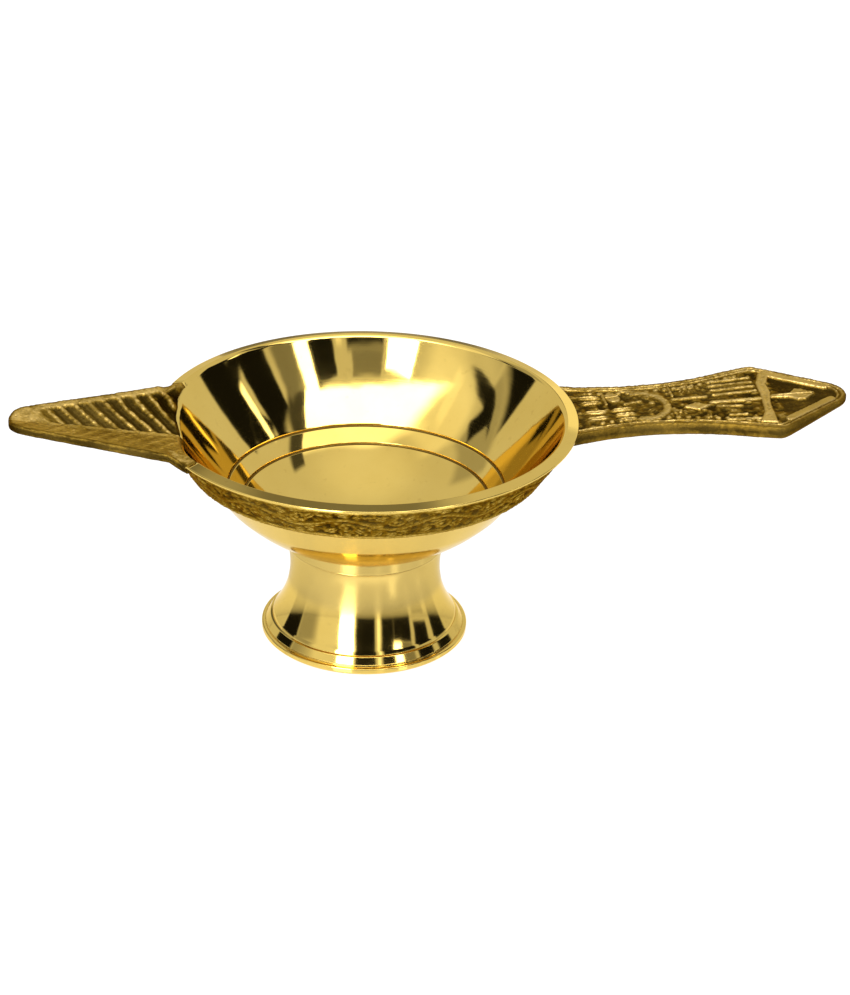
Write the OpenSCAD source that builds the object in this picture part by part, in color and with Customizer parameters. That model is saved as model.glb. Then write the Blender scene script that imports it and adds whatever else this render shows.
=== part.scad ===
// Hand-held brass oil lamp: a turned bowl in a cast rim band, a leaf spout let into a
// notch in the rim, a flat ornamental handle and a hollow pedestal foot bolted on from below.
// Origin: the bowl's axis on the resting plane. +Z up, +X towards the handle.

/* [Bowl] */
// Outer radius of the polished lip
rim_r = 50; // [48:0.5:52]
// Height of the lip above the resting plane
rim_h = 57; // [56:0.5:58]
// Width of the lip
lip_w = 2.6; // [2.2:0.1:3]
// Thickness of the lip where it covers the band
lip_t = 1.1; // [0.9:0.1:1.4]
// How far the lip's top falls towards its outer edge
lip_fall = 0.6; // [0:0.1:0.6]
// Thickness of the bowl's wall
wall_t = 1.6; // [1.4:0.1:1.8]
// Steepness of the upper wall, from level
wall_angle = 52.5; // [51:0.5:54]
// Inside radius of the rounded bottom
dish_r = 44.8; // [43:0.2:47]
// Radius of the outer engraved ring, where the wall turns into the rounded bottom
ring_r = 33; // [32:0.5:34]
// Distance from the outer engraved ring to the inner one
ring_gap = 3.5; // [2.5:0.5:5]

/* [Rim band] */
// Depth of the band below the lip's top
band_drop = 11.3; // [10:0.1:13]
// How far the band's lower edge stands out from the bowl
band_proud = 2; // [1.4:0.1:2.4]

/* [Spout] */
// Distance from the bowl's axis to the spout's tip
spout_reach = 84; // [80:1:90]
// Half the angle between the leaf's two edges
leaf_angle = 21.8; // [20:0.2:23]
// Radius of the leaf's rounded tip
leaf_tip_r = 6.8; // [6:0.2:7.4]
// Thickness of the leaf
leaf_t = 2; // [1.6:0.1:2.4]
// Number of barbs cut on each side of the midrib
barb_count = 8; // [6:1:9]

/* [Handle] */
// Distance from the bowl's axis to the handle's tip
handle_reach = 116.5; // [110:0.5:125]
// Width of the grip at its narrowest
grip_w = 22.4; // [20:0.2:25]
// Width of the spearhead at its corners
spear_w = 36.4; // [34:0.2:38]
// Thickness of the handle
handle_t = 3.2; // [2.8:0.1:3.8]
// Upward tilt of the handle
handle_tilt = 1.6; // [0:0.2:3]
// Width of the raised border round the ornament
border_w = 2.6; // [2:0.1:3.2]

/* [Foot] */
// Radius of the foot where it stands
foot_r = 25; // [24:0.5:27]
// Radius of the neck
neck_r = 18.1; // [17.5:0.1:18.5]
// Height of the narrowest part of the neck
neck_h = 17.5; // [16.5:0.5:18.5]
// Radius of the flare's hollow curve
flare_r = 22.5; // [21:0.5:25]
// Thickness of the foot's wall
foot_wall = 2; // [1.6:0.1:2.4]

/* [Fastening] */
// Diameter of the stud that holds the foot
stud_d = 4; // [3:0.5:5]
// Width of the nut across its flats
nut_af = 7; // [6:0.5:8]
// Outer diameter of the washer
washer_d = 12; // [10:0.5:14]

/* [Hidden] */
$fn = 96;

POLISHED = [0.88, 0.72, 0.34];
CAST = [0.55, 0.44, 0.14];
STEEL = [0.72, 0.72, 0.70];
eps = 0.01;

// Bowl: a rounded bottom whose centre is on the axis, then a straight wall up to the lip
lip_in_r = rim_r - lip_w;
lip_under_z = rim_h - lip_t;
ring_z = rim_h - (lip_in_r - ring_r) * tan(wall_angle);
dish_z = ring_z + sqrt(dish_r * dish_r - ring_r * ring_r);
dish_floor_z = dish_z - dish_r;
dish_out_r = dish_r + wall_t;
ring_out = [ring_r, ring_z - dish_z] * dish_out_r / dish_r + [0, dish_z];
ring_overlap = [ring_r - 0.5, ring_z - dish_z - 0.5] * (dish_r + wall_t / 2) / dish_r + [0, dish_z];
ring_groove_r = 0.35;
boss_r = 5;
boss_drop = 4;
boss_z = dish_floor_z - wall_t - boss_drop;

// Radius of the bowl's outer wall at height z
function wall_out_r(z) = ring_out[0] + (z - ring_out[1]) / tan(wall_angle);

// Rim band
band_z = rim_h - band_drop;
band_low_r = wall_out_r(band_z) + band_proud;
band_high_r = rim_r - 0.15;

// Spout: the leaf is drawn along +X and turned round to -X
leaf_tip_x = spout_reach - leaf_tip_r;
leaf_apex_x = leaf_tip_x + leaf_tip_r / sin(leaf_angle);
leaf_tangent = [leaf_tip_x + leaf_tip_r * sin(leaf_angle), leaf_tip_r * cos(leaf_angle)];
leaf_fillet_r = 10;
valley_rise = 8.8;
side_rise = 11.8;
valley_z = rim_h - 3.1;
barb_pitch = 4.2;
barb_first_x = 43.3;
barb_angle = 50;
barb_w = 1.4;
barb_deep = 0.45;
midrib_w = 1.4;
midrib_h = 0.5;
leaf_root_x = 40;
notch_end_x = 60;

// Half-width of the leaf at x, before its tip is rounded
function leaf_half_w(x) = (leaf_apex_x - x) * tan(leaf_angle);

// Fillet between the leaf's edge and the rim: its centre is one radius outside both
fillet_far = rim_r + leaf_fillet_r;
fillet_dist = leaf_half_w(0) * cos(leaf_angle) + leaf_fillet_r;
fillet_dir = 90 - leaf_angle - acos(fillet_dist / fillet_far);
leaf_fillet_c = fillet_far * [cos(fillet_dir), sin(fillet_dir)];
leaf_fillet_rim = rim_r * [cos(fillet_dir), sin(fillet_dir)];
leaf_fillet_edge = leaf_fillet_c - leaf_fillet_r * [sin(leaf_angle), cos(leaf_angle)];

// Handle: grip with hollow sides, then a spearhead
handle_root_x = 44;
handle_root_z = rim_h - 1;
grip_x = 66;
grip_side_r = 62.6;
grip_slope = 16.7;
spear_x = 97;
spear_tip_r = 7;
tip_taper = 4.5;
panel_deep = 0.6;
panel_root_x = 54;

// Tenon of the handle, and the room round it in the band
tenon_w = 16;
tenon_t = 1.4;
tenon_z = handle_root_z - handle_t / 2 - tenon_t / 2;
tenon_root_x = 44;
tenon_end_x = rim_r - 0.4;
tenon_gap = 0.1;

// Foot
foot_rim_h = 1.7;
bead_z = [2.1, 3.8];
bead_r = [foot_r - 1, foot_r - 2.2];
collar_z = 23.9;
collar_r = 19.1;
line_deep = 0.25;
web_z = 15;
web_t = 2;
foot_edge = 0.6;

// Fastening
stud_r = stud_d / 2;
washer_t = 1;
nut_t = 3.2;
stud_low_z = web_z - washer_t - nut_t - 1;
stud_high_z = dish_floor_z - 1.4;
stud_hole_end_z = dish_floor_z - 1.1;

module turn() {
    rotate_extrude() children();
}

// Half section of the bowl's upper wall and lip
module wall_section() {
    polygon([
        [ring_r, ring_z],
        [lip_in_r, rim_h],
        [rim_r, rim_h - lip_fall],
        [rim_r, lip_under_z],
        [wall_out_r(lip_under_z), lip_under_z],
        ring_out,
        ring_overlap
    ]);
}

// Half section of the bowl's rounded bottom
module dish_section() {
    intersection() {
        difference() {
            translate([0, dish_z]) circle(r = dish_out_r);
            translate([0, dish_z]) circle(r = dish_r);
        }
        polygon([
            [0, dish_z],
            [2 * ring_r, dish_z + 2 * (ring_z - dish_z)],
            [2 * ring_r, 0],
            [0, 0]
        ]);
    }
}

// Small round groove in the rounded bottom at radius r
module ring_groove(r) {
    turn() translate([r, dish_z - sqrt(dish_r * dish_r - r * r)])
        circle(r = ring_groove_r, $fn = 24);
}

module bowl() {
    color(POLISHED) difference() {
        union() {
            turn() wall_section();
            turn() dish_section();
            translate([0, 0, boss_z]) cylinder(r = boss_r, h = boss_drop + wall_t / 2);
        }
        translate([0, 0, boss_z - eps]) cylinder(r = stud_r, h = stud_hole_end_z - boss_z + eps);
        ring_groove(ring_r);
        ring_groove(ring_r - ring_gap);
        rim_notch();
    }
}

// Room inside the bowl's inner wall and above it, where the spout's root ends
module bowl_room() {
    turn() polygon([
        [0, ring_z],
        [ring_r, ring_z],
        [lip_in_r, rim_h],
        [lip_in_r, rim_h + 20],
        [0, rim_h + 20]
    ]);
}

// Everything inside the bowl's outer wall, for cutting neighbours to fit it
module bowl_body() {
    turn() polygon([
        [0, ring_out[1]],
        ring_out,
        [wall_out_r(lip_under_z), lip_under_z],
        [rim_r, lip_under_z],
        [rim_r, rim_h + 20],
        [0, rim_h + 20]
    ]);
}

// Everything inside the band and the lip
module rim_body() {
    turn() polygon([
        [0, band_z],
        [band_low_r, band_z],
        [band_high_r, lip_under_z],
        [rim_r, lip_under_z],
        [rim_r, rim_h + 20],
        [0, rim_h + 20]
    ]);
}

// The handle's tenon through the band, grown by gap on each face
module tenon(gap) {
    translate([tenon_root_x, -tenon_w / 2 - gap, tenon_z - gap])
        cube([tenon_end_x - tenon_root_x, tenon_w + 2 * gap, tenon_t + 2 * gap]);
}

module rim_band() {
    color(CAST) difference() {
        turn() polygon([
            [wall_out_r(band_z), band_z],
            [band_low_r, band_z],
            [band_high_r, lip_under_z],
            [wall_out_r(lip_under_z), lip_under_z]
        ]);
        tenon(tenon_gap);
        rim_notch();
    }
}

// One half of the leaf's outline, y >= 0, with the fillet to the rim
module half_leaf_outline() {
    difference() {
        union() {
            translate([leaf_tip_x, 0]) circle(r = leaf_tip_r);
            polygon([
                [0, 0],
                [leaf_tip_x, 0],
                leaf_tangent,
                leaf_fillet_edge,
                leaf_fillet_c,
                leaf_fillet_rim
            ]);
        }
        translate([0, -rim_r]) square([2 * spout_reach, rim_r]);
        translate(leaf_fillet_c) circle(r = leaf_fillet_r);
    }
}

// Flat plate of one side of the leaf, its top at z = 0, with the barbs cut in it
module leaf_plate() {
    difference() {
        translate([0, -rim_r, -leaf_t]) cube([2 * spout_reach, 2 * rim_r, leaf_t]);
        for (i = [0 : barb_count - 1])
            translate([barb_first_x + i * barb_pitch, 0.5, -barb_deep])
                rotate([0, 0, barb_angle]) cube([rim_r, barb_w, 1]);
    }
}

// Tilts what is drawn flat so that it lies along one side of the leaf
module along_leaf() {
    translate([rim_r, 0, valley_z]) rotate([side_rise, -valley_rise, 0])
        translate([-rim_r, 0, 0]) children();
}

module half_leaf() {
    intersection() {
        translate([0, 0, rim_h - 20]) linear_extrude(height = 40) half_leaf_outline();
        along_leaf() leaf_plate();
    }
}

// Room that one side of the leaf takes in the rim, open above it
module half_notch() {
    intersection() {
        translate([0, 0, rim_h - 20]) linear_extrude(height = 40)
            polygon([[0, 0], [notch_end_x, 0], [notch_end_x, notch_end_x * tan(fillet_dir)]]);
        along_leaf() translate([0, -rim_r, -leaf_t]) cube([2 * rim_r, 2 * rim_r, 20]);
    }
}

module rim_notch() {
    rotate([0, 0, 180]) {
        half_notch();
        mirror([0, 1, 0]) half_notch();
    }
}

module midrib() {
    translate([rim_r, 0, valley_z]) rotate([0, -valley_rise, 0])
        translate([leaf_root_x - rim_r, -midrib_w / 2, -leaf_t / 2])
            cube([leaf_tip_x - leaf_root_x, midrib_w, leaf_t / 2 + midrib_h]);
}

module spout() {
    color(CAST) rotate([0, 0, 180]) difference() {
        union() {
            half_leaf();
            mirror([0, 1, 0]) half_leaf();
            midrib();
        }
        bowl_room();
    }
}

// Handle outline, drawn in from its edge by inset
module handle_outline(inset, root_x) {
    half_w = spear_w / 2 - inset;
    tip_r = spear_tip_r - inset;
    tip_c = handle_reach - spear_tip_r;
    corner = [spear_x, half_w];
    corner_dist = norm(corner - [tip_c, 0]);
    corner_dir = atan2(half_w, spear_x - tip_c);
    tip_dir = corner_dir - acos(tip_r / corner_dist);
    tip_tangent = [tip_c + tip_r * cos(tip_dir), tip_r * sin(tip_dir)];
    slope_x = grip_x + grip_side_r * sin(grip_slope);
    slope_w = grip_w / 2 + grip_side_r * (1 - cos(grip_slope)) - inset;
    difference() {
        union() {
            translate([tip_c, 0]) circle(r = tip_r);
            polygon([
                [root_x, -half_w],
                [slope_x, -half_w],
                [slope_x, -slope_w],
                [spear_x, -half_w],
                [tip_tangent[0], -tip_tangent[1]],
                tip_tangent,
                corner,
                [slope_x, slope_w],
                [slope_x, half_w],
                [root_x, half_w]
            ]);
        }
        for (side = [-1, 1]) {
            translate([grip_x, side * (grip_w / 2 + grip_side_r)]) circle(r = grip_side_r + inset);
        }
    }
}

// Ornament on the handle: C-scroll, lozenge, stem, cross-bar and arrow leaf
module handle_motifs() {
    translate([57, 0]) square([8, 2.4], center = true);
    translate([69.5, 0]) difference() {
        circle(r = 5.6);
        circle(r = 3.2);
        translate([-6, 0]) square([8, 20], center = true);
    }
    polygon([[76, 0], [79.5, -2.2], [83, 0], [79.5, 2.2]]);
    for (side = [-1, 1]) translate([82.5, side * 7]) circle(r = 1.6);
    translate([88.5, 0]) square([9, 1.4], center = true);
    translate([96, 0]) square([3.2, 22], center = true);
    polygon([[99, -1], [104, -3.4], [110.5, 0], [104, 3.4], [99, 1]]);
}

// The handle as a flat plate, its top at z = 0
module handle_plate() {
    difference() {
        translate([0, 0, -handle_t]) linear_extrude(height = handle_t)
            handle_outline(0, handle_root_x);
        translate([0, 0, -panel_deep]) linear_extrude(height = 1) difference() {
            handle_outline(border_w, panel_root_x);
            handle_motifs();
        }
        translate([spear_x, -rim_r, -handle_t]) rotate([0, -tip_taper, 0])
            translate([0, 0, -5]) cube([40, 2 * rim_r, 5]);
    }
}

module handle() {
    color(CAST) {
        difference() {
            translate([rim_r, 0, handle_root_z]) rotate([0, -handle_tilt, 0])
                translate([-rim_r, 0, 0]) handle_plate();
            rim_body();
        }
        difference() {
            tenon(0);
            bowl_body();
        }
    }
}

// Half section of the foot's outside, from the resting plane to above the joint
module foot_outside() {
    difference() {
        union() {
            difference() {
                square([foot_r, collar_z + 5]);
                translate([neck_r + flare_r, neck_h]) circle(r = flare_r);
            }
            square([foot_r, foot_rim_h]);
            polygon([[0, bead_z[0]], [bead_r[0], bead_z[0]], [bead_r[1], bead_z[1]], [0, bead_z[1]]]);
            translate([0, collar_z]) square([collar_r, 5]);
        }
        translate([neck_r + flare_r - sqrt(pow(flare_r, 2) - pow(collar_z - neck_h, 2)), collar_z])
            circle(r = line_deep, $fn = 24);
        polygon([[foot_r - foot_edge, 0], [foot_r + 1, -1], [foot_r, foot_edge]]);
    }
}

// Half section of the hollow inside the foot, below and above its web
module foot_hollow() {
    low_r = foot_r - foot_wall;
    difference() {
        union() {
            translate([0, -1]) square([low_r, web_z + 1]);
            translate([0, web_z + web_t]) square([neck_r - foot_wall, 20]);
        }
        translate([neck_r + flare_r, neck_h]) circle(r = flare_r + foot_wall);
    }
}

module foot() {
    color(POLISHED) difference() {
        turn() difference() {
            foot_outside();
            foot_hollow();
            square([stud_r + tenon_gap, 2 * web_z]);
        }
        translate([0, 0, dish_z]) sphere(r = dish_out_r);
    }
}

module foot_stud() {
    color(STEEL) translate([0, 0, stud_low_z]) cylinder(r = stud_r, h = stud_high_z - stud_low_z);
}

module foot_washer() {
    color(STEEL) translate([0, 0, web_z - washer_t]) difference() {
        cylinder(r = washer_d / 2, h = washer_t);
        translate([0, 0, -1]) cylinder(r = stud_r + 2 * tenon_gap, h = washer_t + 2);
    }
}

module foot_nut() {
    color(STEEL) translate([0, 0, web_z - washer_t - nut_t]) difference() {
        cylinder(r = nut_af / 2 / cos(30), h = nut_t, $fn = 6);
        translate([0, 0, -1]) cylinder(r = stud_r, h = nut_t + 2);
    }
}

bowl();
rim_band();
spout();
handle();
foot();
foot_stud();
foot_washer();
foot_nut();
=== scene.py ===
import math

import bpy
import numpy as np
from mathutils import Matrix, Vector


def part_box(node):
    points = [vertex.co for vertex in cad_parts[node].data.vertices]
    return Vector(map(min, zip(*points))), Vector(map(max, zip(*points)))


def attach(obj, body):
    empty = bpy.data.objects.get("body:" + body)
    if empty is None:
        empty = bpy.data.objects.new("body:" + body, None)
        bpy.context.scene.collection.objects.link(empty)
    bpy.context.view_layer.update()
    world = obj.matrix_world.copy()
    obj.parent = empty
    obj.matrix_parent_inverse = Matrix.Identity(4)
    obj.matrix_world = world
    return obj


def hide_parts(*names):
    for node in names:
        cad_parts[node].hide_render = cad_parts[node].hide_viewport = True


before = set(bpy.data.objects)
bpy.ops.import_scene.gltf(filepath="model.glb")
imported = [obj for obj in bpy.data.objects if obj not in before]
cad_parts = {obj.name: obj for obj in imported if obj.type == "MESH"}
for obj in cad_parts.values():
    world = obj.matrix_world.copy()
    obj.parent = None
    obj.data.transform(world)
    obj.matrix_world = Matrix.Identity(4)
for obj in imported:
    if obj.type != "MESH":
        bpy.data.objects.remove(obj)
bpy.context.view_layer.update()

MM = 0.001
TAU = 2 * math.pi


def reach(node, axis, end=1):
    """Where a CAD node ends along an axis, in millimetres, to a tenth. end is 0 for its low end."""
    return round(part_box(node)[end][axis] / MM, 1)


# ---------------------------------------------------------------- sizes, in millimetres
# The outer sizes come from the frame, and the others repeat the part's own dimensions.
RIM_R, RIM_H = reach("bowl", 1), reach("bowl", 2)
LIP_W, LIP_T, LIP_FALL = 2.6, 1.1, 0.6
LIP_IN_R, LIP_UNDER_Z = RIM_R - LIP_W, RIM_H - LIP_T
WALL_T, DISH_R, WALL_BULGE = 1.6, 44.8, 0.51
WALL_COT = 1 / math.tan(math.radians(52.5))
RING_R, RING2_R = 33.0, 29.5
RING_Z = RIM_H - (LIP_IN_R - RING_R) / WALL_COT
DISH_Z = RING_Z + math.sqrt(DISH_R ** 2 - RING_R ** 2)
FLOOR_Z = DISH_Z - DISH_R
DISH_OUT_R = DISH_R + WALL_T
OUT_R0 = RING_R * DISH_OUT_R / DISH_R
OUT_Z0 = DISH_Z + (RING_Z - DISH_Z) * DISH_OUT_R / DISH_R
BAND_Z = RIM_H - 11.3
GROOVE_W, GROOVE_D = 0.3, 0.22


def wall_out_r(z):
    return OUT_R0 + (z - OUT_Z0) * WALL_COT


BAND_LOW_R = wall_out_r(BAND_Z) + 2.0
BAND_HIGH_R = RIM_R - 0.15
FOOT_R = reach("foot", 0)
NECK_R, NECK_H, FLARE_R, FOOT_WALL = 18.1, 17.5, 22.5, 2.0
COLLAR_Z, COLLAR_R = 23.9, 19.1
WEB_Z, WEB_T, STUD_R, BOSS_R = 15.0, 2.0, 2.0, 5.0
RELIEF_TOP = 1.05  # highest value of a casting's relief


# ---------------------------------------------------------------- mesh helpers
def make_mesh(name, verts, faces, relief=None):
    """Smooth-shaded object from vertices in millimetres. The materials read relief, one number per vertex."""
    mesh = bpy.data.meshes.new(name)
    mesh.from_pydata((np.asarray(verts) * MM).tolist(), [], faces)
    mesh.polygons.foreach_set("use_smooth", np.ones(len(mesh.polygons), bool))
    if relief is not None:
        layer = mesh.attributes.new("relief", "FLOAT", "POINT")
        layer.data.foreach_set("value", np.asarray(relief, np.float32))
    mesh.validate()
    mesh.update()
    obj = bpy.data.objects.new(name, mesh)
    bpy.context.scene.collection.objects.link(obj)
    return obj


def grid_faces(rows, cols, wrap_rows=False, wrap_cols=False):
    """Quads over a grid of vertices that is stored row by row."""
    r = np.arange(rows if wrap_rows else rows - 1)
    c = np.arange(cols if wrap_cols else cols - 1)
    rr, cc = np.meshgrid(r, c, indexing="ij")
    r1, c1 = (rr + 1) % rows, (cc + 1) % cols
    quads = np.stack([rr * cols + cc, r1 * cols + cc, r1 * cols + c1, rr * cols + c1], -1)
    return quads.reshape(-1, 4).tolist()


def lathe(name, profile, segments, closed=True, shape=None, painted_shade=None):
    """Turns a profile of (r, z) points. A closed one is a loop, and an open one starts and ends on the axis."""
    prof = np.asarray(profile, float)
    ang = np.arange(segments) * TAU / segments
    inner = prof if closed else prof[1:-1]
    ring = np.stack(
        [inner[:, 0, None] * np.cos(ang), inner[:, 0, None] * np.sin(ang),
         np.repeat(inner[:, 1, None], segments, 1)], -1)
    n = len(inner)
    verts = ring.reshape(-1, 3)
    faces = grid_faces(n, segments, wrap_rows=closed, wrap_cols=True)
    if not closed:
        a, b = len(verts), len(verts) + 1
        verts = np.vstack([verts, [[0, 0, prof[0, 1]], [0, 0, prof[-1, 1]]]])
        nxt = lambda k: (k + 1) % segments
        faces += [(a, k, nxt(k)) for k in range(segments)]
        last = (n - 1) * segments
        faces += [(b, last + nxt(k), last + k) for k in range(segments)]
    relief = None
    if painted_shade is not None:
        relief = np.zeros(len(verts))
        relief[:n * segments] = np.repeat(painted_shade[1:-1] if not closed else painted_shade, segments)
    return make_mesh(name, verts if shape is None else shape(verts), faces, relief)


def rounded(points, radii, steps=5):
    """Polyline with each corner rounded by its radius, with a support point just outside every corner."""
    pts = [np.asarray(p, float) for p in points]
    out = []
    for k, p in enumerate(pts):
        r = radii[k]
        if r <= 0:
            out.append(p)
            continue
        a, b = pts[k - 1], pts[(k + 1) % len(pts)]
        u, v = (a - p) / np.linalg.norm(a - p), (b - p) / np.linalg.norm(b - p)
        half = math.acos(np.clip(u @ v, -1, 1)) / 2
        t = r / math.tan(half)
        c = p + (u + v) / np.linalg.norm(u + v) * r / math.sin(half)
        p0, p1 = p + u * t, p + v * t
        a0 = math.atan2(*(p0 - c)[::-1])
        a1 = math.atan2(*(p1 - c)[::-1])
        d = (a1 - a0 + math.pi) % TAU - math.pi
        arcp = [c + r * np.array([math.cos(a0 + d * i / steps), math.sin(a0 + d * i / steps)])
                for i in range(steps + 1)]
        out += [p0 + u * r * 0.3] + arcp + [p1 + v * r * 0.3]
    return out


def resample(points, step):
    """Adds points along the longer stretches of a closed polyline, so that no face is very long."""
    out = []
    for k, p in enumerate(points):
        q = points[(k + 1) % len(points)]
        n = max(1, int(np.linalg.norm(q - p) / step))
        out += [p + (q - p) * i / n for i in range(n)]
    return np.array(out)


def smooth_step(a, b, x):
    t = np.clip((x - a) / (b - a), 0, 1)
    return t * t * (3 - 2 * t)


# ---------------------------------------------------------------- leaf of the spout, and the notch it sits in
LEAF_DIR = math.radians(21.8)
LEAF_TIP_X, LEAF_TIP_R, LEAF_END = 77.2, 6.8, -reach("spout", 0, 0)
LEAF_APEX = LEAF_TIP_X + LEAF_TIP_R / math.sin(LEAF_DIR)
LEAF_TANGENT_X = LEAF_TIP_X + LEAF_TIP_R * math.sin(LEAF_DIR)
LEAF_FILLET, LEAF_FILLET_R = (53.2, 27.72), 10.0
LEAF_FILLET_START, LEAF_FILLET_END, LEAF_FLANK = 49.5, 44.36, 0.52
LEAF_T = 2.0


def leaf_width(x):
    """Half-width of the leaf, drawn along +X, from inside the bowl to the tip."""
    x = np.asarray(x, float)
    w = (LEAF_APEX - x) * math.tan(LEAF_DIR)
    w = np.where(x > LEAF_TANGENT_X,
                 np.sqrt(np.clip(LEAF_TIP_R ** 2 - (x - LEAF_TIP_X) ** 2, 0, None)), w)
    fillet = LEAF_FILLET[1] - np.sqrt(np.clip(LEAF_FILLET_R ** 2 - (x - LEAF_FILLET[0]) ** 2, 0, None))
    w = np.where(x < LEAF_FILLET_START, fillet, w)
    return np.where(x < LEAF_FILLET_END, x * LEAF_FLANK, w)


def leaf_top(x, y):
    """Height of the leaf's top: it rises towards the tip and away from the midrib."""
    plane = 53.9 + 0.1548 * (x - 50) + 0.2114 * (np.sqrt(y * y + 0.6) - 0.6)
    # the corners of the root run into the lip
    r = np.hypot(x, y)
    lip = RIM_H - 0.1 - 0.23 * np.clip(r - LIP_IN_R, 0, LIP_W) + 0.7 * np.clip(r - RIM_R, 0, None)
    return np.minimum(plane, lip)


def notched(verts):
    """Lowers the rim where the leaf runs through it, so that it stays hidden inside the leaf."""
    out = np.array(verts, float)
    x, y = -out[:, 0], out[:, 1]
    level = leaf_top(x, y) - 1.0
    hit = (x > 40) & (np.abs(y) < leaf_width(x) - 0.1) & (out[:, 2] > level)
    out[:, 2] = np.where(hit, level, out[:, 2])
    return out


def inner_wall_r(z):
    """Radius of the bowl's inner wall near its top."""
    return LIP_IN_R - np.clip(RIM_H - z, 0, None) * WALL_COT


# ---------------------------------------------------------------- bowl
def groove(r0, r):
    """Depth of a small round-bottomed engraved line at radius r0."""
    return GROOVE_D * np.clip(1 - ((r - r0) / GROOVE_W) ** 2, 0, None)


def dish_point(r, cut=0.0, sphere=DISH_R):
    """Point on the dish's inside at radius r, or on the sphere around it, pushed out by cut."""
    ang = np.arcsin(r / DISH_R)
    rad = sphere + cut
    return np.stack([rad * np.sin(ang), DISH_Z - rad * np.cos(ang)], -1)


def build_bowl():
    r = np.unique(np.concatenate([
        np.linspace(0, 29, 60), np.linspace(29.0, 30.0, 21), np.linspace(30, 32.5, 8),
        np.linspace(32.5, RING_R, 11)]))
    cut = groove(RING2_R, r) + groove(RING_R, r)
    inner = dish_point(r, cut)
    # the upper wall bulges a little, so that it runs on smoothly from the dish
    a, b = np.array([RING_R, RING_Z]), np.array([LIP_IN_R - 0.45, RIM_H])
    t = np.linspace(0, 1, 46)[1:]
    chord = b - a
    out = np.array([chord[1], -chord[0]]) / np.linalg.norm(chord)
    bulge = WALL_BULGE * 4 * t * (1 - t)
    wall = a + chord * t[:, None] + out * bulge[:, None]
    near = np.linalg.norm(wall - a, axis=1)
    wall += out * groove(0, near)[:, None]
    extra = a + chord * np.array([0.004, 0.008, 0.012])[:, None]
    cut_up = groove(0, np.linalg.norm(extra - a, axis=1))
    extra += out * cut_up[:, None]
    lip = rounded(
        [wall[-2], [LIP_IN_R - 0.05, RIM_H], [RIM_R - 0.02, RIM_H - LIP_FALL], [RIM_R - 0.02, LIP_UNDER_Z],
         [wall_out_r(LIP_UNDER_Z), LIP_UNDER_Z], [OUT_R0, OUT_Z0]],
        [0, 0.3, 0.2, 0.15, 0.05, 0])[1:-1]
    outer_wall = np.linspace(wall_out_r(LIP_UNDER_Z), OUT_R0, 24)[1:]
    outer_wall = np.stack([outer_wall, OUT_Z0 + (outer_wall - OUT_R0) / WALL_COT], -1)
    ro = np.linspace(RING_R, BOSS_R * DISH_R / DISH_OUT_R, 50)[1:]
    under = dish_point(ro, 0, DISH_OUT_R)
    boss_z = FLOOR_Z - WALL_T - 4
    hole_z = FLOOR_Z - 1.1
    boss = rounded(
        [under[-1], [BOSS_R, boss_z], [STUD_R, boss_z], [STUD_R, hole_z], [0, hole_z]],
        [0, 0.3, 0.2, 0.1, 0])[1:]
    profile = np.vstack([inner, extra, wall[:-1], lip, outer_wall, under, boss])
    painted_shade = np.zeros(len(profile))
    # painted shade in the engraved grooves, darkest in their middle
    painted_shade[:len(cut)] = cut / GROOVE_D
    painted_shade[len(cut):len(cut) + len(cut_up)] = cut_up / GROOVE_D
    # painted shade: the outside is darker and rougher, from the lip's lower edge on
    painted_shade[len(inner) + len(extra) + len(wall) + len(lip) - 3:] = -0.55
    return lathe("bowl_turned", profile, 400, False, notched, painted_shade)


# ---------------------------------------------------------------- foot
def build_foot():
    cx = NECK_R + FLARE_R
    flare = lambda z: cx - math.sqrt(FLARE_R ** 2 - (z - NECK_H) ** 2)
    line_r = flare(COLLAR_Z)
    zs = np.linspace(4.6, 23.2, 60)
    side = [np.array([flare(z), z]) for z in zs]
    sphere_r = lambda r: DISH_Z - math.sqrt(DISH_OUT_R ** 2 - r ** 2)
    top_r = np.linspace(COLLAR_R - 0.1, NECK_R - FOOT_WALL, 8)
    top = [np.array([r, sphere_r(r)]) for r in top_r]
    outer = rounded(
        [[23.4, 0], [24.4, 0], [FOOT_R, 0.6], [FOOT_R, 1.7], [24.1, 1.75], [24.1, 2.1],
         [23.95, 2.15], [22.9, 3.75], [22.35, 3.85], side[0], side[1]],
        [0, 0.15, 0.2, 0.25, 0.08, 0.08, 0.2, 0.2, 0.08, 0, 0], 4)[1:-2]
    line = rounded(
        [side[-1], [line_r - 0.02, 23.6], [line_r - 0.06, 23.75], [COLLAR_R - 0.05, 24.0],
         [COLLAR_R, sphere_r(COLLAR_R)], top[0]],
        [0, 0.12, 0.1, 0.2, 0.12, 0], 4)[1:-1]
    inner_flare = lambda z: cx - math.sqrt((FLARE_R + FOOT_WALL) ** 2 - (z - NECK_H) ** 2)
    hollow = rounded(
        [top[-1], [NECK_R - FOOT_WALL, WEB_Z + WEB_T], [STUD_R + 0.1, WEB_Z + WEB_T],
         [STUD_R + 0.1, WEB_Z], [inner_flare(WEB_Z), WEB_Z]],
        [0, 0.4, 0.1, 0.2, 0.5], 4)[1:]
    zi = np.linspace(WEB_Z - 0.8, 1.5, 40)
    inside = [np.array([min(inner_flare(z), 23.0), z]) for z in zi]
    low = rounded([inside[-1], [23.0, 0.0], [24.4, 0.0]], [0, 0.3, 0], 4)[1:-1]
    profile = resample(
        [np.asarray(p, float) for p in outer + side + line + top + hollow + inside + low], 0.8)
    # painted shade: the upper neck, under the bowl, is darker and rougher than the flare
    neck_shade = -smooth_step(11.0, 15.5, profile[:, 1])
    return lathe("foot_turned", profile, 360, painted_shade=neck_shade)


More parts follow.
